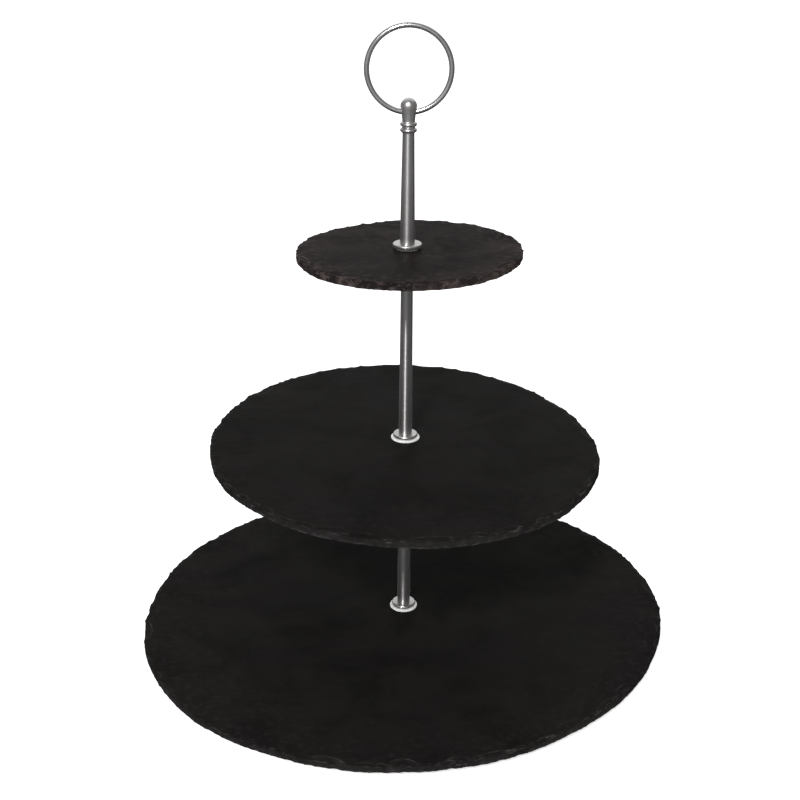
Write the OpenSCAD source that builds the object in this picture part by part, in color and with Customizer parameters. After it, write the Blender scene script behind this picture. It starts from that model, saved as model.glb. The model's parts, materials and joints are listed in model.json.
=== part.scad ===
// Three-tier slate cake stand that screws together with M4 threads.
// Millimetres. +Z is up, Z = 0 is the table, and the post stands on the Z axis.
// -Y is the front. The carry ring stands in the XZ plane.

/* [Slate tiers] */
// Mean diameter of the bottom slate
bottom_d = 328; // [300:1:360]
// Mean diameter of the middle slate
middle_d = 246; // [200:1:270]
// Mean diameter of the top slate
top_d = 132; // [110:1:160]
// How far the bottom slate is out of round, long and short of its mean radius
bottom_oval = 5; // [0:0.1:8]
// Direction of the bottom slate's long axis, in degrees
bottom_oval_angle = 25; // [0:1:180]
// How far the middle slate is out of round
middle_oval = 5.2; // [0:0.1:8]
// Direction of the middle slate's long axis, in degrees
middle_oval_angle = 107; // [0:1:180]
// How far the middle slate's outline lies off its hole
middle_off = 3.4; // [0:0.1:6]
// Direction in which the middle slate's outline is off, in degrees
middle_off_angle = 242; // [0:1:360]
// How far the top slate is out of round
top_oval = 2.4; // [0:0.1:4]
// Direction of the top slate's long axis, in degrees
top_oval_angle = 41; // [0:1:180]
// How far the top slate's outline lies off its hole
top_off = 1.9; // [0:0.1:4]
// Direction in which the top slate's outline is off, in degrees
top_off_angle = 355; // [0:1:360]
// Thickness of each slate
slate_t = 5; // [4:0.5:7]
// Diameter of the clearance hole at a slate's centre
slate_hole_d = 5; // [4.6:0.1:6]
// How far the hand-chipped rim of the bottom slate wanders, in and out together
rim_depth = 3; // [1:0.1:5]

/* [Rods] */
// Length of a rod from the underside of its foot to its top end
rod_l = 114; // [90:1:150]
// Outside diameter of a rod tube at its foot
rod_d_low = 8.2; // [7.6:0.1:9.5]
// Outside diameter of a rod tube at its top end
rod_d_high = 7; // [6.8:0.1:8]
// Wall thickness of every tube
tube_wall = 0.8; // [0.6:0.1:1]
// Diameter of a rod's foot flange
rod_foot_d = 15; // [12:0.1:17]
// Thickness of every foot flange
foot_t = 2.4; // [1.8:0.1:3]
// How far a foot's spigot reaches up inside its tube
spigot_l = 9; // [8.8:0.1:12]
// How far a rod's top plug reaches down inside its tube
plug_l = 12; // [8:0.5:16]

/* [Handle] */
// Length of the handle from the underside of its foot to the top of its knob
handle_l = 85.5; // [75:0.5:110]
// Outside diameter of the handle tube at its foot
handle_d_low = 8.8; // [7.6:0.1:10]
// Outside diameter of the handle tube at its top end
handle_d_high = 6.7; // [6:0.1:7]
// Diameter of the handle's foot flange
handle_foot_d = 17.1; // [15:0.1:18]
// Diameter of the knob's domed head
knob_d = 9.3; // [8.8:0.1:10.5]
// Angle at which the knob's waist narrows downwards
waist_angle = 7.8; // [6:0.1:9]
// Outside diameter of the two beads under the waist
bead_d = 9.5; // [9:0.1:11]
// Diameter of the hole drilled across the knob
cross_hole_d = 3.6; // [3.5:0.05:3.8]

/* [Carry ring] */
// Outside diameter of the ring
ring_d = 50; // [44:1:60]
// Diameter of the ring's wire
wire_d = 3; // [2.5:0.1:3]

/* [Fasteners] */
// Major diameter of the M4 threads
thread_d = 4; // [4:0.1:4]
// Diameter of a threaded bore, a running fit around the thread
thread_bore_d = 4.1; // [4.05:0.01:4.15]
// How far a stud or the base screw reaches into the foot above it
thread_reach = 8; // [6:0.5:8.5]
// Diameter of the plastic washers
washer_d = 17.6; // [16:0.1:20]
// Diameter of the smaller plastic washer that the handle's foot hides
handle_washer_d = 14; // [10:0.5:16]
// Thickness of the plastic washers and of the steel washer
washer_t = 1; // [0.8:0.1:1]
// Diameter of the hole in every washer
washer_hole_d = 4.3; // [4.2:0.1:4.5]
// Diameter of the steel washer under the base screw
steel_washer_d = 12; // [9:0.5:14]
// Diameter of the base screw's head
screw_head_d = 7.6; // [7:0.1:8.5]
// Height of the base screw's head
screw_head_h = 2.2; // [1.8:0.1:2.4]
// Width across the flats of the head's hexagon socket
socket_af = 2.5; // [2:0.5:2.5]

/* [Rubber pads] */
// Height of a pad, which is the gap under the bottom slate
pad_h = 5; // [4.8:0.1:8]
// Diameter of a pad where it sticks to the slate
pad_d_high = 18; // [14:1:22]
// Diameter of a pad where it meets the table
pad_d_low = 15; // [10:1:20]
// Distance from the post's axis to a pad's centre
pad_r = 112; // [80:1:125]

/* [Hidden] */

// Segments of a full circle
$fn = 96;
// Overlap that lets a cutter run clear through a face
over = 1;
// Angle between two points of a slate's rim
rim_step = 3;
// Phases that give each slate a rim of its own
bottom_phase = 40;
middle_phase = 205;
top_phase = 310;

// Outline of each slate: how far out of round and in which direction, then how far off its hole
centred = [0, 0];
bottom_round = [bottom_oval, bottom_oval_angle];
middle_round = [middle_oval, middle_oval_angle];
middle_shift = [middle_off, middle_off_angle];
top_round = [top_oval, top_oval_angle];
top_shift = [top_off, top_off_angle];

// Heights, from the table up
bottom_z = pad_h;
lower_rod_z = bottom_z + slate_t + washer_t;
middle_z = lower_rod_z + rod_l + washer_t;
upper_rod_z = middle_z + slate_t + washer_t;
top_z = upper_rod_z + rod_l + washer_t;
handle_z = top_z + slate_t + washer_t;
knob_top_z = handle_z + handle_l;

// Shoulder of a rod's top end to the tip of its stud
stud_out = 2 * washer_t + slate_t + thread_reach;
// Rounding of a flange's upper edge
flange_edge = 1;
// Rounding of a washer's edges
washer_edge = 0.3;

// Knob: the waist is a cone that leaves the head's sphere at a tangent
knob_r = knob_d / 2;
head_z = knob_top_z - knob_r;
waist_top_z = head_z - knob_r * sin(waist_angle);
waist_top_r = knob_r * cos(waist_angle);
waist_l = 7.9;
waist_bottom_z = waist_top_z - waist_l;
waist_bottom_r = waist_top_r - waist_l * tan(waist_angle);
bead_r = 1.2;
bead_gap = 0.9;
upper_bead_z = waist_bottom_z - bead_r - 0.2;
lower_bead_z = upper_bead_z - 2 * bead_r - bead_gap;
handle_tube_top_z = lower_bead_z - bead_r - 0.5;
collar_r = 3.6;
knob_spigot_l = 10;

// Ring: its wire rests centred in the cross hole, which is the hinge axis
ring_r = (ring_d - wire_d) / 2;
cross_hole_z = head_z - 3.25;
hole_half_l = waist_top_r - (waist_top_z - cross_hole_z) * tan(waist_angle);
wire_sag = (ring_r - sqrt(ring_r * ring_r - hole_half_l * hole_half_l)) / 2;
ring_z = cross_hole_z - wire_sag + ring_r;

// Share of half the rim's depth, from -1 to 1, at angle a
function rim_wave(a, phase) =
    0.40 * sin(3 * a + phase)
    + 0.30 * sin(5 * a + 2.3 * phase)
    + 0.18 * sin(11 * a + 3.1 * phase)
    + 0.12 * sin(29 * a + 1.7 * phase);

// Radius at angle a of a hand-cut outline of mean radius r.
// oval and off are [amount, direction] pairs.
function outline_radius(a, r, oval, off) =
    r + oval[0] * cos(2 * (a - oval[1])) + off[0] * cos(a - off[1]);

// Radius at angle a of a slate of mean radius r with its chipped rim
function rim_radius(a, r, oval, off, phase) =
    outline_radius(a, r, oval, off)
    + rim_depth * sqrt(2 * r / bottom_d) * rim_wave(a, phase) / 2;

// Outside radius, at height z, of a tube that tapers from d_low to d_high
function taper_r(z, z_low, z_high, d_low, d_high) =
    (d_low + (d_high - d_low) * (z - z_low) / (z_high - z_low)) / 2;

// Slate disc with a chipped rim, its underside at height z
module slate(z, d, oval, off, phase) {
    color("#252423")
    translate([0, 0, z])
    difference() {
        linear_extrude(slate_t)
            polygon([for (a = [0 : rim_step : 360 - rim_step])
                rim_radius(a, d / 2, oval, off, phase) * [cos(a), sin(a)]]);
        translate([0, 0, -over])
            cylinder(d = slate_hole_d, h = slate_t + 2 * over);
    }
}

// Round bar around the Z axis with a circle of radius edge as its section
module bead(r, edge) {
    rotate_extrude()
        translate([r - edge, 0])
            circle(edge);
}

// Disc with a rounded upper edge
module domed_disc(d, t, edge) {
    cylinder(d = d - 2 * edge, h = t);
    cylinder(d = d, h = t - edge);
    translate([0, 0, t - edge])
        bead(d / 2, edge);
}

// Disc with both edges rounded
module round_edged_disc(d, t, edge) {
    cylinder(d = d - 2 * edge, h = t);
    translate([0, 0, edge])
        cylinder(d = d, h = t - 2 * edge);
    for (z = [edge, t - edge])
        translate([0, 0, z])
            bead(d / 2, edge);
}

// Plastic or steel washer with its underside at height z
module washer(z, d, shade) {
    color(shade)
    translate([0, 0, z])
    difference() {
        round_edged_disc(d, washer_t, washer_edge);
        translate([0, 0, -over])
            cylinder(d = washer_hole_d, h = washer_t + 2 * over);
    }
}

module plastic_washer(z, d = washer_d) {
    washer(z, d, "#dfe0dc");
}

// Tapered tube, open at both ends
module tapered_tube(z_low, z_high, d_low, d_high) {
    // The bore's taper is carried on past both ends of the tube
    low_r = taper_r(z_low - over, z_low, z_high, d_low, d_high) - tube_wall;
    high_r = taper_r(z_high + over, z_low, z_high, d_low, d_high) - tube_wall;
    color("#8d8b89")
    difference() {
        translate([0, 0, z_low])
            cylinder(d1 = d_low, d2 = d_high, h = z_high - z_low);
        translate([0, 0, z_low - over])
            cylinder(r1 = low_r, r2 = high_r, h = z_high - z_low + 2 * over);
    }
}

// Tapered core that fills a tube's bore between two heights
module tube_core(from_z, to_z, z_low, z_high, d_low, d_high) {
    translate([0, 0, from_z])
        cylinder(r1 = taper_r(from_z, z_low, z_high, d_low, d_high) - tube_wall,
                 r2 = taper_r(to_z, z_low, z_high, d_low, d_high) - tube_wall,
                 h = to_z - from_z);
}

// Foot: flange, spigot inside the tube, and a threaded bore up through both
module foot(z, flange_d, tube_top_z, d_low, d_high) {
    tube_z = z + foot_t;
    color("#a9a7a5")
    difference() {
        union() {
            translate([0, 0, z])
                domed_disc(flange_d, foot_t, flange_edge);
            tube_core(tube_z, tube_z + spigot_l, tube_z, tube_top_z, d_low, d_high);
        }
        translate([0, 0, z - over])
            cylinder(d = thread_bore_d, h = foot_t + spigot_l + 2 * over);
    }
}

module rod_tube(z) {
    tapered_tube(z + foot_t, z + rod_l, rod_d_low, rod_d_high);
}

module rod_foot(z) {
    foot(z, rod_foot_d, z + rod_l, rod_d_low, rod_d_high);
}

// Plug at a rod's top end, flush with the tube and bored for its stud
module rod_plug(z) {
    top = z + rod_l;
    color("#7f7d7b")
    difference() {
        tube_core(top - plug_l, top, z + foot_t, top, rod_d_low, rod_d_high);
        translate([0, 0, top - plug_l - over])
            cylinder(d = thread_d, h = plug_l + 2 * over);
    }
}

// Stud from the bottom of a rod's plug up into the foot above
module rod_stud(z) {
    stud_l = plug_l + stud_out;
    point = 0.5;
    color("#b8b6b2")
    translate([0, 0, z + rod_l - plug_l]) {
        cylinder(d = thread_d, h = stud_l - point);
        translate([0, 0, stud_l - point])
            cylinder(d1 = thread_d, d2 = thread_d - 2 * point, h = point);
    }
}

module handle_tube() {
    tapered_tube(handle_z + foot_t, handle_tube_top_z, handle_d_low, handle_d_high);
}

module handle_foot() {
    foot(handle_z, handle_foot_d, handle_tube_top_z, handle_d_low, handle_d_high);
}

// Knob: domed head, waist, two beads, and a spigot inside the handle tube
module finial() {
    color("#9b9997")
    difference() {
        union() {
            translate([0, 0, head_z])
                sphere(r = knob_r);
            translate([0, 0, waist_bottom_z])
                cylinder(r1 = waist_bottom_r, r2 = waist_top_r, h = waist_l);
            translate([0, 0, handle_tube_top_z])
                cylinder(r = collar_r, h = waist_bottom_z - handle_tube_top_z);
            for (z = [upper_bead_z, lower_bead_z])
                translate([0, 0, z])
                    bead(bead_d / 2, bead_r);
            tube_core(handle_tube_top_z - knob_spigot_l, handle_tube_top_z,
                      handle_z + foot_t, handle_tube_top_z, handle_d_low, handle_d_high);
        }
        translate([-knob_d, 0, cross_hole_z])
            rotate([0, 90, 0])
                cylinder(d = cross_hole_d, h = 2 * knob_d);
    }
}

// Closed wire ring, standing up through the knob
module carry_ring() {
    color("#a5a3a1")
    translate([0, 0, ring_z])
        rotate([90, 0, 0])
            bead(ring_d / 2, wire_d / 2);
}

// Screw that comes up through the bottom slate, its head above the table
module base_screw() {
    head_top_z = bottom_z - 2 * washer_t;
    shank_l = stud_out + washer_t;
    socket_depth = 1.3;
    point = 0.5;
    color("#b2b0ac")
    difference() {
        union() {
            translate([0, 0, head_top_z])
                mirror([0, 0, 1])
                    domed_disc(screw_head_d, screw_head_h, flange_edge);
            translate([0, 0, head_top_z])
                cylinder(d = thread_d, h = shank_l - point);
            translate([0, 0, head_top_z + shank_l - point])
                cylinder(d1 = thread_d, d2 = thread_d - 2 * point, h = point);
        }
        translate([0, 0, head_top_z - screw_head_h - over])
            cylinder(d = socket_af / cos(30), h = socket_depth + over, $fn = 6);
    }
}

module base_steel_washer() {
    washer(bottom_z - 2 * washer_t, steel_washer_d, "#b8b6b2");
}

// Stick-on rubber pad number n of four, at the corners of a square
module rubber_pad(n) {
    color("#1b1b1b")
    rotate([0, 0, 90 * n - 45])
        translate([pad_r, 0, 0])
            cylinder(d1 = pad_d_low, d2 = pad_d_high, h = pad_h);
}

slate(bottom_z, bottom_d, bottom_round, centred, bottom_phase);  // bottom_slate
slate(middle_z, middle_d, middle_round, middle_shift, middle_phase);  // middle_slate
slate(top_z, top_d, top_round, top_shift, top_phase);  // top_slate
rod_tube(lower_rod_z);  // lower_rod_tube
rod_foot(lower_rod_z);  // lower_rod_foot
rod_plug(lower_rod_z);  // lower_rod_plug
rod_stud(lower_rod_z);  // lower_rod_stud
rod_tube(upper_rod_z);  // upper_rod_tube
rod_foot(upper_rod_z);  // upper_rod_foot
rod_plug(upper_rod_z);  // upper_rod_plug
rod_stud(upper_rod_z);  // upper_rod_stud
handle_tube();
handle_foot();
finial();
carry_ring();
base_screw();
base_steel_washer();
plastic_washer(bottom_z - washer_t);  // base_plastic_washer
plastic_washer(bottom_z + slate_t);  // bottom_top_washer
plastic_washer(middle_z - washer_t);  // middle_bottom_washer
plastic_washer(middle_z + slate_t);  // middle_top_washer
plastic_washer(top_z - washer_t);  // top_bottom_washer
plastic_washer(top_z + slate_t, handle_washer_d);  // top_top_washer
rubber_pad(1);  // rubber_pad_1
rubber_pad(2);  // rubber_pad_2
rubber_pad(3);  // rubber_pad_3
rubber_pad(4);  // rubber_pad_4
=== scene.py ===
"""Three-tier slate cake stand: its looks, light and camera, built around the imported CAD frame.

Every piece takes its place and size from a node of the frame. What the CAD leaves plain is
shaped here: the slates' struck rims, the thread helices, the knob's turned outline and cross
hole, and softened edges. Lengths are in metres, and MM turns millimetres into them."""
import bisect
import json
import math
import random

import bmesh
import bpy
from mathutils import Matrix, Vector, noise

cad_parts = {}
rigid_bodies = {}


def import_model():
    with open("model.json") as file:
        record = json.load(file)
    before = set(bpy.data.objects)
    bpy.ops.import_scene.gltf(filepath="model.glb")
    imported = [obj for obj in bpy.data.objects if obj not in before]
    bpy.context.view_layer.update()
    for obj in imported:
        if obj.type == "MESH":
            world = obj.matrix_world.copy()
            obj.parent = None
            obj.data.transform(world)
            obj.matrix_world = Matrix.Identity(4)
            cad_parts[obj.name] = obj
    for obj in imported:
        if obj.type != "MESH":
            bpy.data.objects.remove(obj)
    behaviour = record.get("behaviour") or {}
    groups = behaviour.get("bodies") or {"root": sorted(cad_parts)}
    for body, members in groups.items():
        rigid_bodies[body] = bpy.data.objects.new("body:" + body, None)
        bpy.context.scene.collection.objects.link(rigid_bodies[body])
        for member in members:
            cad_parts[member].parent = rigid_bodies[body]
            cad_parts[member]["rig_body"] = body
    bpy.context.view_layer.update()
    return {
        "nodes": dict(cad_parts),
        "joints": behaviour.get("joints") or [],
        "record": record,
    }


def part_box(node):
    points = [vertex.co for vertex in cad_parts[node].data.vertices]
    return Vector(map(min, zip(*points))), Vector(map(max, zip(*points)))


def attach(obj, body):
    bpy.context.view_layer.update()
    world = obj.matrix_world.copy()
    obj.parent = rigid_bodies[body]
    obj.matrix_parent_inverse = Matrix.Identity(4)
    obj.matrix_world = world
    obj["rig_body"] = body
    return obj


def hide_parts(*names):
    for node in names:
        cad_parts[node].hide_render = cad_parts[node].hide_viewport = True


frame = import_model()
NODE_BODY = {n: o["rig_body"] for n, o in frame["nodes"].items()}
NODE_SLOT = {s["node"]: s["material_slot"] for s in frame["record"]["subparts"]}
MM = 0.001
TAU = 2 * math.pi
SAME_HEIGHT = 0.02 * MM  # vertices this near to a height count as being at it


# ---------- reading the frame ----------

def z_range(node):
    low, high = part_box(node)
    return low.z, high.z


def vertices_at(node, z):
    """A CAD node's vertices at height z."""
    return [v.co for v in frame["nodes"][node].data.vertices if abs(v.co.z - z) < SAME_HEIGHT]


def radii_at(node, z):
    """Smallest and largest distance of a CAD node's vertices at height z from the post's axis."""
    found = [co.xy.length for co in vertices_at(node, z)]
    return min(found), max(found)


def widest_radius(node):
    low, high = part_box(node)
    return (high.x - low.x) / 2


def rim_points(node):
    """The corners of a slate's CAD outline, as (angle, radius) in order of angle."""
    _, high = z_range(node)
    _, widest = radii_at(node, high)
    corners = {}
    for co in vertices_at(node, high):
        if co.xy.length > widest / 2:
            corners[round(math.atan2(co.y, co.x), 5)] = co.xy.length
    return sorted(corners.items())


def rim_function(node):
    """A function that gives the radius of a slate's CAD outline at any angle."""
    points = rim_points(node)
    count = len(points)

    def radius(angle):
        angle = (angle + math.pi) % TAU - math.pi
        after = next((i for i, p in enumerate(points) if p[0] > angle), count) % count
        (a, ra), (b, rb) = points[after - 1], points[after]
        span = (b - a) % TAU
        into = (angle - a) % TAU
        # the straight side between the two corners
        return ra * rb * math.sin(span) / (ra * math.sin(into) + rb * math.sin(span - into))

    return radius


# ---------- mesh helpers ----------

def smooth(mesh, sharp_deg):
    """Smooth shading that breaks at edges sharper than sharp_deg."""
    for polygon in mesh.polygons:
        polygon.use_smooth = True
    mesh.set_sharp_from_angle(angle=math.radians(sharp_deg))


def new_piece(name, verts, faces, sharp_deg=40):
    """A mesh object in the scene, shaded smooth up to sharp_deg."""
    mesh = bpy.data.meshes.new(name)
    mesh.from_pydata([tuple(v) for v in verts], [], faces)
    mesh.validate()
    smooth(mesh, sharp_deg)
    piece = bpy.data.objects.new(name, mesh)
    bpy.context.scene.collection.objects.link(piece)
    return piece


def finish_piece(piece, node, material):
    """Puts a piece in place of its CAD node."""
    piece.data.materials.append(material)
    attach(piece, NODE_BODY[node])
    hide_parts(node)


def circle(radius, z, count):
    """Points of a circle round the post's axis."""
    turns = [TAU * i / count for i in range(count)]
    return [(radius * math.cos(a), radius * math.sin(a), z) for a in turns]


def band(a, b, count):
    """Quads between two rings of count vertices each, which start at vertices a and b."""
    sides = [(i, (i + 1) % count) for i in range(count)]
    return [(a + i, a + j, b + j, b + i) for i, j in sides]


def lathe(profile, segments=96, closed=True, centre=(0, 0)):
    """Vertices and faces of a profile of (radius, z) turned about a vertical line.
    A profile with a closed outline makes a ring; otherwise its ends lie on the axis."""
    verts, faces, rows = [], [], []
    for r, z in profile:
        count = 1 if r < 1e-9 else segments
        rows.append((len(verts), count))
        for i in range(count):
            a = TAU * i / segments
            verts.append((centre[0] + r * math.cos(a), centre[1] + r * math.sin(a), z))
    pairs = list(zip(rows, rows[1:] + rows[:1])) if closed else list(zip(rows, rows[1:]))
    for (one, n), (two, m) in pairs:
        for i in range(segments):
            j = (i + 1) % segments
            if n == m == 1:
                continue
            if n == 1:
                faces.append((one, two + j, two + i))
            elif m == 1:
                faces.append((one + i, one + j, two))
            else:
                faces.append((one + i, one + j, two + j, two + i))
    return verts, faces


def arc(r, z, radius, start_deg, end_deg, steps=8):
    """Points of an arc round (r, z) in the profile plane. 0 degrees points outwards, 90 up."""
    points = []
    for i in range(steps + 1):
        a = math.radians(start_deg + (end_deg - start_deg) * i / steps)
        points.append((r + radius * math.cos(a), z + radius * math.sin(a)))
    return points


def rounded_ring(inner, outer, low, high, edge):
    """Profile of a ring whose outer edges are rounded."""
    return ([(inner, low)] + arc(outer - edge, low + edge, edge, -90, 0)
            + arc(outer - edge, high - edge, edge, 0, 90) + [(inner, high)])


# ---------- material helpers ----------

class Shader:
    """A new node material with a few shortcuts."""

    def __init__(self, name):
        self.material = bpy.data.materials.new(name)
        self.material.use_nodes = True
        self.tree = self.material.node_tree
        self.bsdf = self.tree.nodes["Principled BSDF"]

    def node(self, kind, **settings):
        made = self.tree.nodes.new(kind)
        for key, value in settings.items():
            setattr(made, key, value)
        return made

    def link(self, a, b):
        self.tree.links.new(a, b)

    def set(self, **values):
        """Sets constant values on the shader's own sockets."""
        for name, value in values.items():
            self.bsdf.inputs[name.replace("_", " ")].default_value = value

    def coordinates(self, scale):
        """Object coordinates in metres times scale, which is one number or three."""
        where = self.node("ShaderNodeTexCoord")
        mapping = self.node("ShaderNodeMapping")
        mapping.inputs["Scale"].default_value = scale if isinstance(scale, tuple) else (scale,) * 3
        self.link(where.outputs["Object"], mapping.inputs["Vector"])
        return mapping.outputs["Vector"]

    def noise(self, vector, scale=1.0, detail=4.0, rough=0.5, distort=0.0):
        made = self.node("ShaderNodeTexNoise")
        made.inputs["Scale"].default_value = scale
        made.inputs["Detail"].default_value = detail
        made.inputs["Roughness"].default_value = rough
        made.inputs["Distortion"].default_value = distort
        self.link(vector, made.inputs["Vector"])
        return made.outputs["Fac"]

    def ramp(self, factor, *stops):
        """Colour ramp of (position, grey or colour) stops."""
        made = self.node("ShaderNodeValToRGB")
        elements = made.color_ramp.elements
        while len(elements) < len(stops):
            elements.new(0.5)
        for element, (position, shade) in zip(elements, stops):
            element.position = position
            colour = shade if isinstance(shade, tuple) else (shade,) * 3
            element.color = (*colour, 1)
        self.link(factor, made.inputs["Fac"])
        return made.outputs["Color"]

    def mix(self, factor, a, b, blend="MIX"):
        made = self.node("ShaderNodeMix", data_type="RGBA", blend_type=blend)
        for value, socket in ((factor, made.inputs[0]), (a, made.inputs[6]), (b, made.inputs[7])):
            if isinstance(value, bpy.types.NodeSocket):
                self.link(value, socket)
            elif isinstance(value, tuple):
                socket.default_value = (*value, 1)
            else:
                socket.default_value = value
        return made.outputs[2]

    def bump(self, height, distance, strength=1.0, normal=None):
        made = self.node("ShaderNodeBump")
        made.inputs["Distance"].default_value = distance
        made.inputs["Strength"].default_value = strength
        self.link(height, made.inputs["Height"])
        if normal is not None:
            self.link(normal, made.inputs["Normal"])
        return made.outputs["Normal"]


def steel(name, colour, rough_low, rough_high, grain, anisotropy):
    """Bare or plated steel. grain is how fine its tool marks are along X, Y and Z, per metre.
    Anisotropy stretches its highlights along the post."""
    s = Shader(name)
    marks = s.noise(s.coordinates(grain), detail=6, rough=0.6)
    smudges = s.noise(s.coordinates(90.0), detail=3)
    tone = s.ramp(marks, (0.3, tuple(c * 0.86 for c in colour)), (0.7, colour))
    s.link(s.mix(0.25, tone, s.ramp(smudges, (0.35, 0.62), (0.65, 1.0)), "MULTIPLY"),
           s.bsdf.inputs["Base Color"])
    s.link(s.ramp(marks, (0.25, rough_low), (0.75, rough_high)), s.bsdf.inputs["Roughness"])
    s.link(s.bump(marks, 0.02 * MM, 0.5), s.bsdf.inputs["Normal"])
    s.set(Metallic=1.0, Anisotropic=anisotropy, Anisotropic_Rotation=0.25)
    if anisotropy:
        around = s.node("ShaderNodeTangent", direction_type="RADIAL", axis="Z")
        s.link(around.outputs["Tangent"], s.bsdf.inputs["Tangent"])
    return s.material


def clear_plastic():
    s = Shader("milky_plastic")
    cloud = s.noise(s.coordinates(400.0), detail=3)
    s.link(s.ramp(cloud, (0.3, (0.70, 0.71, 0.70)), (0.7, (0.86, 0.87, 0.86))),
           s.bsdf.inputs["Base Color"])
    s.link(s.ramp(cloud, (0.3, 0.28), (0.7, 0.40)), s.bsdf.inputs["Roughness"])
    s.link(s.bump(s.noise(s.coordinates(2500.0)), 0.01 * MM, 0.4), s.bsdf.inputs["Normal"])
    s.set(Subsurface_Weight=0.25, Subsurface_Radius=(0.002, 0.002, 0.002), Subsurface_Scale=1.0)
    return s.material


def black_rubber():
    s = Shader("black_rubber")
    grain = s.noise(s.coordinates(1500.0), detail=6, rough=0.7)
    s.link(s.ramp(grain, (0.3, 0.008), (0.75, 0.022)), s.bsdf.inputs["Base Color"])
    s.link(s.ramp(grain, (0.3, 0.62), (0.7, 0.85)), s.bsdf.inputs["Roughness"])
    s.link(s.bump(grain, 0.05 * MM, 0.6), s.bsdf.inputs["Normal"])
    return s.material


def slate_stone(name, radius, colour, other, lip_colour, darkest, scuffing):
    """Riven slate that drifts between two colours, darkened in clouds down to a share of them
    and scuffed pale, most of all towards its rim at the given radius.
    One mesh attribute marks pale stone: it is 1 on the pale lips of broken layers, whose pale
    colour also paints in their highlight, and it carries the painted highlight along the edges.
    upright is 1 on the broken side between the faces, which is painted lighter to offset its
    shade."""
    s = Shader(name)
    chipped = s.node("ShaderNodeAttribute", attribute_name="chipped")
    upright = s.node("ShaderNodeAttribute", attribute_name="upright")
    clouds = s.noise(s.coordinates(24.0), detail=6, rough=0.62, distort=0.8)
    patches = s.noise(s.coordinates((11.0, 17.0, 11.0)), detail=3, rough=0.5, distort=1.2)
    grain = s.noise(s.coordinates(900.0), detail=7, rough=0.75)
    specks = s.noise(s.coordinates((190.0, 260.0, 190.0)), detail=7, rough=0.72)
    outward = s.node("ShaderNodeVectorMath", operation="LENGTH")
    s.link(s.coordinates((1 / radius, 1 / radius, 0.0)), outward.inputs[0])
    scuffs = s.mix(1.0, s.ramp(specks, (0.50, 0.0), (0.68, scuffing)),
                   s.ramp(outward.outputs["Value"], (0.70, 0.25), (0.98, 1.0)), "MULTIPLY")
    base = s.mix(s.ramp(patches, (0.42, 0.0), (0.60, 1.0)), colour, other)
    face = s.mix(1.0, base, s.ramp(clouds, (0.34, darkest), (0.52, 0.9), (0.68, 1.0)), "MULTIPLY")
    scuffed = tuple(c * 3.2 for c in other)
    face = s.mix(scuffs, face, scuffed)
    # painted light: the upright broken side is painted 1.25 times lighter than the faces, to
    # offset the shade it gets
    side = s.mix(1.0, face, (1.25, 1.27, 1.28), "MULTIPLY")
    face = s.mix(upright.outputs["Fac"], face, side)
    # painted highlight: the lips are paler broken stone, and their pale colour also paints in the
    # highlight they catch
    dull_lip = tuple(c * 0.5 for c in lip_colour)
    lips = s.mix(s.ramp(grain, (0.35, 0.0), (0.65, 1.0)), dull_lip, lip_colour)
    s.link(s.mix(chipped.outputs["Fac"], face, lips), s.bsdf.inputs["Base Color"])
    s.link(s.ramp(clouds, (0.25, 0.46), (0.75, 0.36)), s.bsdf.inputs["Roughness"])
    riven = s.noise(s.coordinates((70.0, 120.0, 70.0)), detail=10, rough=0.62)
    layers = s.bump(riven, 0.35 * MM, 0.3)
    s.link(s.bump(grain, 0.08 * MM, 0.35, layers), s.bsdf.inputs["Normal"])
    s.set(Specular_IOR_Level=0.01)
    return s.material


# ---------- slates ----------

SKIN = 0.04 * MM  # how far the visible stone stays inside its CAD slab
LAYER = 0.3 * MM  # thickness of the layers in which a chip comes down
BED = 0.7 * MM  # thickness of the beds that show on the broken side
LIP = 0.45 * MM  # width of the pale lip where a chip ends, paler stone with a painted highlight
SIDE_ROWS = 9  # rows of points on the broken side
UNDERSIDE = 30  # added to a slate's seed for its lower face
LOWER_SHARE = 0.3  # how much of each bite into the outline reaches the lower edge


def drift(x, y, size, seed):
    """Smooth noise between about -1 and 1 whose features are size metres across."""
    return noise.noise(Vector((x / size, y / size, seed)), noise_basis="PERLIN_ORIGINAL")


def smooth_step(share):
    share = min(max(share, 0.0), 1.0)
    return share * share * (3 - 2 * share)


class Chips:
    """A row of chips struck side by side round a rim of mean radius r, each a shallow shell.
    length and drop are ranges in millimetres; bite and width are ranges of a share of length."""

    def __init__(self, r, length, bite, width, drop, seed):
        length, drop = [tuple(v * MM for v in pair) for pair in (length, drop)]
        dice = random.Random(seed)
        self.starts, self.rows, angle = [], [], 0.0
        while angle < TAU:
            size = dice.uniform(*length)
            self.starts.append(angle)
            # how far it bites into the outline, how far in it reaches, how deep, how pale its lip
            self.rows.append((size / r, size * dice.uniform(*bite), size * dice.uniform(*width),
                              dice.uniform(*drop), max(0.0, dice.uniform(-1.2, 1.0))))
            angle += size / r
        turn, _, *rest = self.rows[-1]
        self.rows[-1] = (TAU - self.starts[-1], 0.0, *rest)

    def at(self, angle):
        """How far across its chip an angle is, as 0 at both ends and 1 halfway, and the chip."""
        angle %= TAU
        i = bisect.bisect_right(self.starts, angle) - 1
        share = (angle - self.starts[i]) / self.rows[i][0]
        return max(4 * share * (1 - share), 0.0), self.rows[i]

    def bite(self, angle):
        bow, (_, bite, *_) = self.at(angle)
        return bite * bow

    def cut(self, angle, inward):
        """Depth below the face and paleness of the lip at a point inward from the rim."""
        bow, (_, _, width, drop, pale) = self.at(angle)
        reach = width * math.sqrt(bow)
        if inward >= reach + LIP:
            return 0.0, 0.0
        share = inward / max(reach, 0.05 * MM)
        lip = max(0.0, 1 - abs(inward - reach) / LIP) * min(bow * 3, 1)
        return drop * math.sqrt(bow) * max(1 - share, 0.0) ** 0.7, pale * lip


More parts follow.
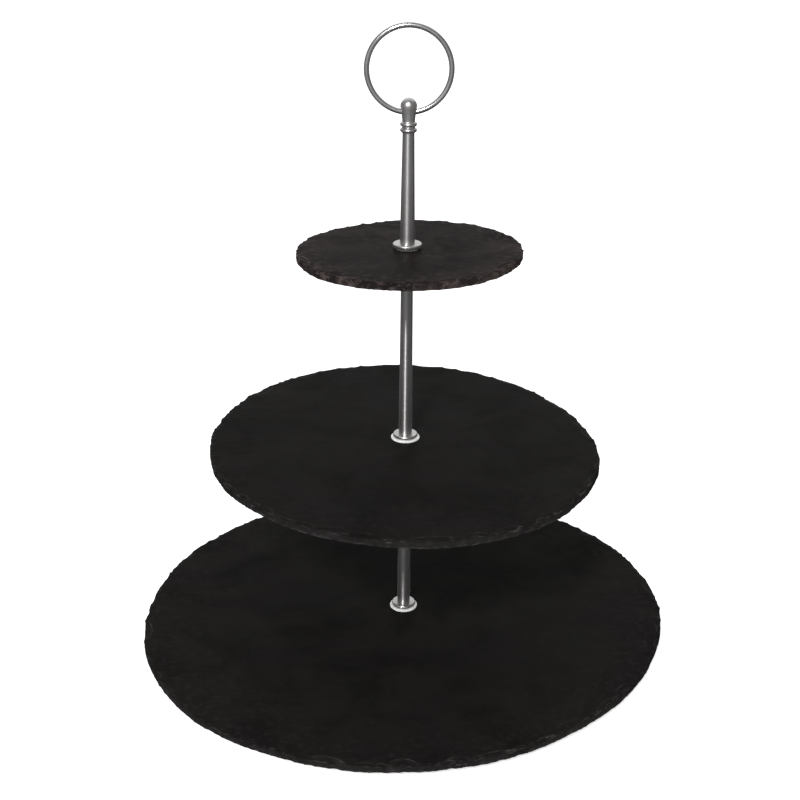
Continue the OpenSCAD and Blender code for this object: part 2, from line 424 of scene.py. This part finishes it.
def ring_plan(radius, hole, segments):
    """Distances in from the rim, each with its number of points: fine on the broken rim."""
    edge, broken, bare = 4 * MM, 9.6 * MM, 2.4 * MM
    edge_step, broken_step, face_step = 0.38 * MM, 0.7 * MM, 2.5 * MM
    closest, fewest = 1.0 * MM, 60
    plan, inward = [], 0.0
    while inward < broken:
        plan.append((inward, segments))
        inward += edge_step if inward < edge else broken_step
    count = segments
    while radius - inward > hole + bare:
        if TAU * (radius - inward) / count < closest and count > fewest:
            count //= 2
        plan.append((inward, count))
        inward += face_step
    return plan


def chip_depth(deep, x, y, seed):
    """Depth of a chip that comes down in small steps, because the stone cleaves in layers."""
    whole = math.floor(deep / LAYER)
    step = smooth_step((deep / LAYER - whole - 0.6) / 0.4)
    cut = 0.45 * deep + 0.55 * LAYER * (whole + step)
    if cut > 0:
        cut += 0.07 * MM * drift(x, y, 1.5 * MM, seed + 5) * min(deep / LAYER, 1)
    return max(cut, 0.0)


def relief(r, x, y, seed):
    """Depth of a face's gentle waves, which die out towards the drilled hole."""
    calm = smooth_step((r - 10 * MM) / (8 * MM))
    wave = 0.5 + 0.5 * drift(x, y * 1.6, 34 * MM, seed + 9)
    ripple = 0.5 + 0.5 * drift(x, y * 1.9, 7 * MM, seed + 10)
    return calm * MM * (0.16 * wave + 0.07 * ripple)


def paleness(lip, inward, x, y, seed, top):
    """How pale a point of a face is: flecked along the chips' lips and on the very edge. The
    flecks on the lips are paler stone with a painted highlight; those on the very edge are a
    painted highlight, which on the lower face runs as a line all along it.
    """
    fleck = smooth_step((drift(x * 0.7, y * 0.7, 4 * MM, seed + 12) - 0.05) / 0.4)
    # painted highlight on the very edge: flecks on the upper face, a faint line all along the
    # lower face
    edge_highlight = max(0.0, 1 - inward / (0.5 * MM)) * (0.55 * fleck if top else 0.1 + 0.5 * fleck)
    return min(max(lip * (0.35 + 0.65 * fleck), edge_highlight), 1.0)


class RivenSlate:
    """The mesh of one slate disc: struck rim, gentle relief on both faces, a broken side and a
    drilled hole. rings holds the first vertex and the number of vertices of each ring."""

    def __init__(self, node, seed, segments):
        self.low, self.high = z_range(node)
        self.hole = radii_at(node, self.high)[0]
        self.rim = rim_function(node)
        self.seed, self.segments = seed, segments
        corners = rim_points(node)
        self.mean = sum(r for _, r in corners) / len(corners)
        self.verts, self.faces, self.chipped, self.rings = [], [], [], []
        # large flakes, the run of middling chips, and the small ones that trim the edge
        self.upper_chips = [
            Chips(self.mean, (9, 26), (0.0, 0.05), (0.10, 0.34), (0.2, 1.1), seed),
            Chips(self.mean, (4, 11), (0.0, 0.06), (0.12, 0.36), (0.3, 1.2), seed + 1),
            Chips(self.mean, (1.4, 4), (0.0, 0.035), (0.15, 0.55), (0.1, 0.5), seed + 2)]
        self.lower_chips = [
            Chips(self.mean, (3, 9), (0, 0), (0.06, 0.22), (0.2, 0.7), seed + 3)]
        plan = ring_plan(self.mean, self.hole, segments)
        upper = self.add_face(plan, True)
        lower = self.add_face(plan, False)
        for rings, flip in ((upper, False), (lower, True)):
            for outer, inner in zip(rings, rings[1:]):
                self.join(outer, inner, flip)
        self.side = self.add_side(upper[0], lower[0])
        self.add_hole(upper[-1], lower[-1])

    def edge_radius(self, angle, struck):
        """Radius of the edge. The blows fall on the upper edge, and the lower keeps a share."""
        x, y = self.mean * math.cos(angle), self.mean * math.sin(angle)
        rough = (0.07 + 0.06 * drift(x, y, 3 * MM, self.seed)
                 + 0.04 * drift(x, y, 1.3 * MM, self.seed + 1))
        inset = max(rough, 0.0) * MM + (1 - struck) * 0.25 * MM
        bites = sum(c.bite(angle) for c in self.upper_chips)
        return self.rim(angle) - SKIN - struck * bites - inset

    def add_face(self, plan, top):
        """The rings of one face, from its edge in to the hole. Returns their numbers."""
        struck = 1.0 if top else LOWER_SHARE
        edge = [self.edge_radius(TAU * i / self.segments, struck) for i in range(self.segments)]
        first = len(self.rings)
        for inward, count in plan:
            self.rings.append((len(self.verts), count))
            for i in range(count):
                self.add_point(TAU * i / count, inward, edge[i * (self.segments // count)], top)
        return range(first, len(self.rings))

    def add_point(self, angle, inward, edge, top):
        """A point of a face and its paleness, inward from the edge's radius at that angle."""
        # rings lean from the rim's outline to the round hole
        r = edge - inward * (edge - self.hole) / (self.mean - self.hole)
        x, y = r * math.cos(angle), r * math.sin(angle)
        seed = self.seed + (0 if top else UNDERSIDE)
        cuts = [c.cut(angle, inward) for c in (self.upper_chips if top else self.lower_chips)]
        deep, lip = max(c[0] for c in cuts), max(c[1] for c in cuts)
        drop = SKIN + relief(r, x, y, seed) + chip_depth(deep, x, y, seed)
        self.verts.append((x, y, self.high - drop if top else self.low + drop))
        self.chipped.append(paleness(lip, inward, x, y, seed, top))

    def join(self, outer, inner, flip=False):
        """Faces between two rings. The inner one has as many points as the outer, or half."""
        (s, n), (t, m) = self.rings[outer], self.rings[inner]
        for j in range(m):
            k = (j + 1) % m
            if n == m:
                made = [(s + j, s + k, t + k, t + j)]
            else:
                f0, f1, f2 = s + 2 * j, s + 2 * j + 1, s + (2 * j + 2) % n
                made = [(f0, f1, t + j), (f1, t + k, t + j), (f1, f2, t + k)]
            self.faces.extend(tuple(reversed(f)) if flip else f for f in made)

    def add_side(self, above, below):
        """The side between the two edges, broken in beds. Returns its vertices' numbers."""
        first, previous = len(self.verts), above
        for row in range(1, SIDE_ROWS + 1):
            self.rings.append((len(self.verts), self.segments))
            for i in range(self.segments):
                high = Vector(self.verts[self.rings[above][0] + i])
                low = Vector(self.verts[self.rings[below][0] + i])
                p = high.lerp(low, row / (SIDE_ROWS + 1))
                a = TAU * i / self.segments
                run = a * self.mean
                bed = drift(run, math.floor(p.z / BED) * 7 * MM, 6 * MM, self.seed + 11)
                shell = drift(run, p.z * 1.5, 3.2 * MM, self.seed + 13)
                bite = MM * max(0.18 + 0.26 * bed + 0.16 * shell, 0.0)
                self.verts.append((p.x - bite * math.cos(a), p.y - bite * math.sin(a), p.z))
                light_bed = smooth_step((bed - 0.28) / 0.3) * smooth_step((shell + 0.1) / 0.5)
                # painted highlight: a thin pale line runs along the lowest rows, where the lower
                # edge catches light
                near_foot = max(0.0, 3 - (SIDE_ROWS - row)) / 3
                foot_highlight = 0.16 * near_foot * smooth_step((shell + 0.2) / 0.5)
                self.chipped.append(max(0.5 * light_bed, foot_highlight))
            self.join(len(self.rings) - 1, previous)
            previous = len(self.rings) - 1
        self.join(below, previous)
        return range(first, len(self.verts))

    def add_hole(self, upper, lower):
        """The drilled hole, between the innermost rings of the two faces."""
        (s, n), (t, _) = self.rings[upper], self.rings[lower]
        starts = [s]
        for z in (self.high - SKIN, self.low + SKIN):
            starts.append(len(self.verts))
            self.verts += circle(self.hole, z, n)
            self.chipped += [0.3] * n
        starts.append(t)
        for i in range(n):
            j = (i + 1) % n
            self.faces += [(a + i, a + j, b + j, b + i) for a, b in zip(starts, starts[1:])]


def slate_piece(node, material, seed, segments):
    """A riven slate disc, marked where its stone is pale and its highlights are painted, and where
    its broken side is.
    """
    stone = RivenSlate(node, seed, segments)
    piece = new_piece(node + "_riven", stone.verts, stone.faces, 38)
    upright = [1.0 if i in stone.side else 0.0 for i in range(len(stone.verts))]
    for name, values in (("chipped", stone.chipped), ("upright", upright)):
        marks = piece.data.attributes.new(name, "FLOAT", "POINT")
        marks.data.foreach_set("value", values)
    finish_piece(piece, node, material)


# ---------- turned metal ----------

def tube_piece(node, material):
    """Tapered tube with softly broken edges."""
    low, high = z_range(node)
    inner_low, outer_low = radii_at(node, low)
    inner_high, outer_high = radii_at(node, high)
    edge = 0.15 * MM
    rows = 24
    outside = [(outer_low - edge, low), (outer_low, low + edge)]
    for i in range(1, rows):
        share = i / rows
        taper = (outer_high - outer_low) * share
        outside.append((outer_low + taper, low + (high - low) * share))
    outside += [(outer_high, high - edge), (outer_high - edge, high)]
    profile = outside + [(inner_high, high), (inner_low, low)]
    finish_piece(new_piece(node + "_turned", *lathe(profile)), node, material)


def foot_piece(node, tube, material):
    """Flange with a rounded edge and a faint step round the tube, on a bored spigot."""
    low, high = z_range(node)
    top = z_range(tube)[0]
    bore, spigot = radii_at(node, high)
    flange = widest_radius(node)
    upper_edge, lower_edge, step = 1.0 * MM, 0.25 * MM, 0.05 * MM
    profile = [(bore, low), (bore + lower_edge, low)]
    profile += arc(flange - lower_edge, low + lower_edge, lower_edge, -90, 0, 4)
    profile += arc(flange - upper_edge, top - upper_edge, upper_edge, 0, 90, 8)
    profile += [(spigot + step, top), (spigot, top), (spigot, high), (bore, high)]
    finish_piece(new_piece(node + "_turned", *lathe(profile, 128)), node, material)


def plug_piece(node, material):
    low, high = z_range(node)
    bore, outer_low = radii_at(node, low)
    _, outer_high = radii_at(node, high)
    profile = [(bore, low), (outer_low, low), (outer_high, high), (bore, high)]
    finish_piece(new_piece(node + "_turned", *lathe(profile)), node, material)


# ---------- threads ----------

MAJOR = 2.0 * MM  # M4
PITCH = 0.7 * MM
THREAD_DEPTH = 0.6134 * PITCH
THREAD_SIDES = 40
CREST_GAP = 0.02 * MM  # how far the crests stay inside the CAD's plain rod


def thread_rows(low, high, plain_to):
    """Heights of the rings of a part-threaded rod, each with whether a thread is cut there."""
    plain_step, thread_step = 2 * MM, PITCH / 8
    rows, z = [], low
    while z < plain_to:
        rows.append((z, False))
        z += plain_step
    rows.append((plain_to, False))
    for i in range(1, int((high - plain_to) / thread_step) + 1):
        rows.append((plain_to + i * thread_step, True))
    rows[-1] = (high, True)
    return rows


def threaded_shank(low, high, plain_to, major):
    """Vertices and faces of a rod with a helical thread above plain_to, open at both ends.
    Its rings have THREAD_SIDES vertices each."""
    n = THREAD_SIDES
    point_height, point_depth = 0.5 * MM, 0.35 * MM
    verts, faces = [], []
    rows = thread_rows(low, high, plain_to)
    for z, threaded in rows:
        # the groove deepens over the first turn and grows shallow over the last
        fade = min((z - plain_to) / PITCH, (high - z) / PITCH + 0.35, 1.0) if threaded else 0.0
        point = max(0.0, 1 - (high - z) / point_height) * point_depth
        for i in range(n):
            turn = (z / PITCH - i / n) % 1.0
            groove = min(max(1.6 * (1 - abs(2 * turn - 1)) - 0.25, 0.0), 1.0)
            r = major - max(fade, 0.0) * THREAD_DEPTH * groove - point
            a = TAU * i / n
            verts.append((r * math.cos(a), r * math.sin(a), z))
    for row in range(len(rows) - 1):
        faces += band(row * n, (row + 1) * n, n)
    return verts, faces


def stud_piece(node, shoulder, material):
    """Threaded stud, plain where it is fixed in its plug."""
    low, high = z_range(node)
    verts, faces = threaded_shank(low, high, shoulder, widest_radius(node) - CREST_GAP)
    faces.append(tuple(reversed(range(THREAD_SIDES))))
    faces.append(tuple(range(len(verts) - THREAD_SIDES, len(verts))))
    finish_piece(new_piece(node + "_threaded", verts, faces, 50), node, material)


def hexagon(across_flats, z, count):
    """Points of a hexagon round the post's axis, at even turns."""
    points = []
    for i in range(count):
        a = TAU * i / count
        r = across_flats / 2 / math.cos((a % (math.pi / 3)) - math.pi / 6)
        points.append((r * math.cos(a), r * math.sin(a), z))
    return points


def screw_piece(node, head_top, material):
    """Pan-head screw with a hexagon socket, its shank threaded from just above the head."""
    n = THREAD_SIDES
    low, high = z_range(node)
    head = widest_radius(node)
    plain, socket, socket_depth = 1.2 * MM, 2.5 * MM, 1.3 * MM
    edge, chamfer = 0.7 * MM, 0.1 * MM
    verts, faces = threaded_shank(head_top, high, head_top + plain, MAJOR - CREST_GAP)
    faces.append(tuple(range(len(verts) - n, len(verts))))
    # the head goes from the shank out, round its edge, and down to the socket's mouth and floor
    outline = [(head - chamfer, head_top), (head, head_top - chamfer)]
    outline += arc(head - edge, low + edge, edge, 0, -90, 6)
    rings = [circle(r, z, n) for r, z in outline]
    rings += [hexagon(socket, z, n) for z in (low, low + socket_depth)]
    previous = 0
    for ring in rings:
        start = len(verts)
        verts += ring
        faces += band(start, previous, n)
        previous = start
    faces.append(tuple(reversed(range(previous, previous + n))))
    finish_piece(new_piece(node + "_threaded", verts, faces, 35), node, material)


# ---------- knob and ring ----------

def knob_profile(node, tube):
    """The knob's outline from its spigot's foot to the top of its head."""
    low, high = z_range(node)
    collar_low = z_range(tube)[1]
    _, spigot_low = radii_at(node, low)
    spigot_high = radii_at(tube, collar_low)[0]
    widest = widest_radius(node)
    head, waist, taper_deg = 4.65 * MM, 7.9 * MM, 7.8
    bead, collar, gap, edge = 1.2 * MM, 3.6 * MM, 0.9 * MM, 0.15 * MM
    hollow_depth, waist_rows = 0.18 * MM, 14
    head_z = high - head
    taper = math.radians(taper_deg)
    top_r, top_z = head * math.cos(taper), head_z - head * math.sin(taper)
    neck_r, neck_z = top_r - waist * math.tan(taper), top_z - waist
    upper = neck_z - bead - 0.2 * MM
    lower = upper - 2 * bead - gap
    out = [(0, low), (spigot_low, low), (spigot_high, collar_low)]
    out += arc(collar - edge, collar_low + edge, edge, -90, 0, 3)
    # each bead stands out of the collar, and stops a degree short of meeting it
    reach = math.degrees(math.acos((collar - (widest - bead)) / bead)) - 1
    for z in (lower, upper):
        out += arc(widest - bead, z, bead, -reach, reach, 16)
    # the waist hollows a little where it meets the beads
    for i in range(waist_rows + 1):
        share = i / waist_rows
        hollow = hollow_depth * math.sin(math.pi * share) * (1 - share)
        out.append((neck_r + (top_r - neck_r) * share - hollow, neck_z + waist * share))
    out += arc(0, head_z, head, -taper_deg, 90, 28)[1:-1]
    out.append((0, high))
    return out


def cross_hole_cutter():
    """A rod along X through the ring's hinge, as wide as the knob's cross hole."""
    radius, length, sides = 1.8 * MM, 16 * MM, 64
    hinge = next(j for j in frame["joints"] if j["name"] == "ring_swing")
    mesh = bpy.data.meshes.new("cross_hole")
    shape = bmesh.new()
    bmesh.ops.create_cone(shape, cap_ends=True, segments=sides, radius1=radius, radius2=radius,
                          depth=length)
    along_x = Matrix.Rotation(math.pi / 2, 4, "Y")
    shape.transform(Matrix.Translation(Vector(hinge["pos_m"])) @ along_x)
    shape.to_mesh(mesh)
    shape.free()
    cutter = bpy.data.objects.new("cross_hole", mesh)
    bpy.context.scene.collection.objects.link(cutter)
    return cutter


def knob_piece(node, tube, material):
    """The turned knob, with its cross hole cut through."""
    turned = lathe(knob_profile(node, tube), 128, closed=False)
    piece = new_piece(node + "_turned", *turned)
    cutter = cross_hole_cutter()
    drill = piece.modifiers.new("drill", "BOOLEAN")
    drill.operation, drill.object, drill.solver = "DIFFERENCE", cutter, "EXACT"
    graph = bpy.context.evaluated_depsgraph_get()
    drilled = bpy.data.meshes.new_from_object(piece.evaluated_get(graph))
    piece.modifiers.clear()
    piece.data = drilled
    bpy.data.objects.remove(cutter)
    smooth(drilled, 30)
    finish_piece(piece, node, material)


def ring_piece(node, material):
    """The wire ring, closed by a fine butt joint that sits inside the knob."""
    low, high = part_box(node)
    wire = (high.y - low.y) / 2
    centre = (low + high) / 2
    radius = (high.z - low.z) / 2 - wire
    around, across, seam_depth = 240, 36, 0.06 * MM
    verts, faces = [], []
    for i in range(around):
        a = TAU * i / around - math.pi / 2
        thick = wire - (seam_depth if i == 0 else 0.0)
        for j in range(across):
            b = TAU * j / across
            r = radius + thick * math.cos(b)
            verts.append((centre.x + r * math.cos(a), centre.y + thick * math.sin(b),
                          centre.z + r * math.sin(a)))
    for i in range(around):
        for j in range(across):
            k, m = (i + 1) % around * across, (j + 1) % across
            faces.append((i * across + j, i * across + m, k + m, k + j))
    finish_piece(new_piece(node + "_wire", verts, faces, 80), node, material)


# ---------- plastic and rubber ----------

def washer_piece(node, material, edge):
    low, high = z_range(node)
    inner = min(v.co.xy.length for v in frame["nodes"][node].data.vertices)
    profile = rounded_ring(inner, widest_radius(node), low, high, edge)
    finish_piece(new_piece(node + "_moulded", *lathe(profile, 128)), node, material)


def pad_piece(node, material):
    """Stick-on rubber foot: rounded lower edge, a shallow cup in its underside."""
    low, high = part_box(node)
    centre = (low + high) / 2
    top = widest_radius(node)
    bottom = top - 1.5 * MM
    edge, side_deg = 0.9 * MM, -17
    cup, floor, mouth = 0.6 * MM, bottom - 3.2 * MM, bottom - 2.6 * MM
    profile = [(0, low.z + cup), (floor, low.z + cup), (mouth, low.z)]
    profile += arc(bottom - edge, low.z + edge, edge, -90, side_deg, 6)
    profile += [(top - 0.2 * MM, high.z - 0.4 * MM), (top - 0.35 * MM, high.z), (0, high.z)]
    verts, faces = lathe(profile, 72, closed=False, centre=(centre.x, centre.y))
    finish_piece(new_piece(node + "_moulded", verts, faces, 35), node, material)


# ---------- studio ----------

WHITE = (1.0, 1.0, 1.0, 1)


def make_camera():
    """The photograph's viewpoint: 23 degrees down, 0.71 m in front of the post."""
    place = Vector((-0.00346, -0.71344, 0.46056))
    pitch, roll = math.radians(23.109), math.radians(0.503)
    data = bpy.data.cameras.new("camera")
    data.sensor_width = 36
    data.lens = 57.15
    data.clip_start, data.clip_end = 0.01, 60
    camera = bpy.data.objects.new("camera", data)
    turn = Matrix.Rotation(math.pi / 2 - pitch, 4, "X") @ Matrix.Rotation(roll, 4, "Z")
    camera.matrix_world = Matrix.Translation(place) @ turn
    bpy.context.scene.collection.objects.link(camera)
    bpy.context.scene.camera = camera


def make_key():
    """A small lamp high in front and a little to the left. It draws the tubes' highlights."""
    place, aim, side, watts = Vector((-0.40, -1.60, 1.38)), Vector((0, 0, 0.2)), 0.3, 33
    data = bpy.data.lights.new("key", "AREA")
    data.shape = "RECTANGLE"
    data.size = data.size_y = side
    data.energy = watts
    light = bpy.data.objects.new("key", data)
    light.location = place
    light.rotation_euler = (aim - place).to_track_quat("-Z", "Y").to_euler()
    bpy.context.scene.collection.objects.link(light)


def make_floor():
    """A pale floor that nearly glows, so that it stays white and carries a faint shadow."""
    reach = 10.0
    corners = [(-reach, -reach, 0), (reach, -reach, 0), (reach, reach, 0), (-reach, reach, 0)]
    piece = new_piece("floor", corners, [(0, 1, 2, 3)])
    s = Shader("pale_floor")
    s.set(Base_Color=(0.86, 0.86, 0.86, 1), Roughness=0.9, Specular_IOR_Level=0.0,
          Emission_Color=WHITE, Emission_Strength=0.62)
    piece.data.materials.append(s.material)
    piece.visible_glossy = False


def background(tree, strength):
    lit = tree.nodes.new("ShaderNodeBackground")
    lit.inputs["Color"].default_value = WHITE
    lit.inputs["Strength"].default_value = strength
    return lit


def glow(tree, direction, stops, strength=1.0):
    """Brightness of the surroundings that depends on the angle to a direction.
    stops are (position, grey): position 0 is straight behind it, 1 straight towards it."""
    where = tree.nodes.new("ShaderNodeTexCoord")
    towards = tree.nodes.new("ShaderNodeVectorMath")
    towards.operation = "DOT_PRODUCT"
    towards.inputs[1].default_value = Vector(direction).normalized()
    tree.links.new(where.outputs["Generated"], towards.inputs[0])
    half = tree.nodes.new("ShaderNodeMath")
    half.operation = "MULTIPLY_ADD"
    half.inputs[1].default_value, half.inputs[2].default_value = 0.5, 0.5
    tree.links.new(towards.outputs["Value"], half.inputs[0])
    ramp = tree.nodes.new("ShaderNodeValToRGB")
    while len(ramp.color_ramp.elements) < len(stops):
        ramp.color_ramp.elements.new(0.5)
    for element, (position, grey) in zip(ramp.color_ramp.elements, stops):
        element.position = position
        element.color = (grey, grey, grey, 1)
    tree.links.new(half.outputs["Value"], ramp.inputs["Fac"])
    lit = background(tree, strength)
    tree.links.new(ramp.outputs["Color"], lit.inputs["Color"])
    return lit


def mirrored_room(tree):
    """What shiny surfaces mirror: a dim room with a soft lamp in front, and the pale backdrop
    high behind."""
    lamp = ((0.14, 0.03), (0.34, 0.15), (0.80, 0.18), (0.985, 0.42))
    backdrop = ((0.80, 0.0), (0.93, 1.0))
    room = tree.nodes.new("ShaderNodeAddShader")
    tree.links.new(glow(tree, (-0.26, -0.92, 0.22), lamp).outputs[0], room.inputs[0])
    tree.links.new(glow(tree, (0.0, 0.78, 0.62), backdrop, 0.75).outputs[0], room.inputs[1])
    return room


def make_surroundings():
    """White to the camera, a little dimmer as soft light, and a dim room in reflections."""
    world = bpy.data.worlds.new("studio")
    bpy.context.scene.world = world
    world.use_nodes = True
    tree = world.node_tree
    seen = tree.nodes["Background"]
    seen.inputs["Color"].default_value = WHITE
    path = tree.nodes.new("ShaderNodeLightPath")
    for ray, shown in (("Is Diffuse Ray", background(tree, 0.72)),
                       ("Is Glossy Ray", mirrored_room(tree))):
        either = tree.nodes.new("ShaderNodeMixShader")
        tree.links.new(path.outputs[ray], either.inputs["Fac"])
        tree.links.new(seen.outputs[0], either.inputs[1])
        tree.links.new(shown.outputs[0], either.inputs[2])
        seen = either
    tree.links.new(seen.outputs["Shader"], tree.nodes["World Output"].inputs["Surface"])


def set_view():
    view = bpy.context.scene.view_settings
    view.view_transform = "Standard"
    view.look = "None"


# ---------- the stand ----------

# colour of the pale lips on chip edges: paler stone that also carries a painted highlight
LIPS = (0.085, 0.082, 0.078)
# each slate's seed, its number of points round the rim, and its stone
SLATES = {
    "bottom_slate": (11, 1152, {
        "radius": 0.164, "colour": (0.0106, 0.0102, 0.0091), "other": (0.0097, 0.0086, 0.0086),
        "lip_colour": LIPS, "darkest": 0.62, "scuffing": 0.30}),
    "middle_slate": (53, 1024, {
        "radius": 0.123, "colour": (0.0088, 0.0085, 0.0074), "other": (0.0092, 0.0082, 0.0081),
        "lip_colour": LIPS, "darkest": 0.66, "scuffing": 0.22}),
    "top_slate": (97, 640, {
        "radius": 0.066, "colour": (0.0085, 0.0069, 0.0066), "other": (0.0180, 0.0136, 0.0130),
        "lip_colour": (0.120, 0.104, 0.098), "darkest": 0.45, "scuffing": 0.8})}

BRUSHED = (0.66, 0.645, 0.64)
BRUSHED_ROUND = (60.0, 60.0, 5000.0)  # marks that run round the tube, so fine along Z


def build_slates():
    for node, (seed, segments, look) in SLATES.items():
        slate_piece(node, slate_stone(node, **look), seed, segments)


def build_rod(part, tube_steel, turned, zinc):
    """A rod between two slates: tube, foot, and the plug that holds its stud."""
    tube = part + "_tube"
    tube_piece(tube, tube_steel)
    foot_piece(part + "_foot", tube, turned)
    plug_piece(part + "_plug", turned)
    stud_piece(part + "_stud", z_range(tube)[1], zinc)


def build_post():
    rod_steel = steel("brushed_rod", BRUSHED, 0.34, 0.44, BRUSHED_ROUND, 0.92)
    handle_steel = steel("brushed_handle", BRUSHED, 0.32, 0.41, BRUSHED_ROUND, 0.66)
    turned = steel("turned_steel", (0.72, 0.705, 0.70), 0.29, 0.37, (900.0,) * 3, 0.0)
    zinc = steel("zinc_plate", (0.60, 0.60, 0.585), 0.24, 0.38, (700.0,) * 3, 0.0)
    wire = steel("polished_wire", (0.72, 0.715, 0.71), 0.20, 0.26, (500.0,) * 3, 0.0)
    for part in ("lower_rod", "upper_rod"):
        build_rod(part, rod_steel, turned, zinc)
    tube_piece("handle_tube", handle_steel)
    foot_piece("handle_foot", "handle_tube", turned)
    knob_piece("finial", "handle_tube", turned)
    ring_piece("carry_ring", wire)
    screw_piece("base_screw", z_range("base_steel_washer")[0], zinc)
    washer_piece("base_steel_washer", zinc, 0.2 * MM)


def build_soft_parts():
    """The plastic washers and the rubber pads."""
    plastic, rubber = clear_plastic(), black_rubber()
    for node, slot in NODE_SLOT.items():
        if slot == "clear_plastic":
            washer_piece(node, plastic, 0.3 * MM)
    for n in range(1, 5):
        pad_piece(f"rubber_pad_{n}", rubber)


make_camera()
make_key()
make_surroundings()
make_floor()
set_view()
build_slates()
build_post()
build_soft_parts()
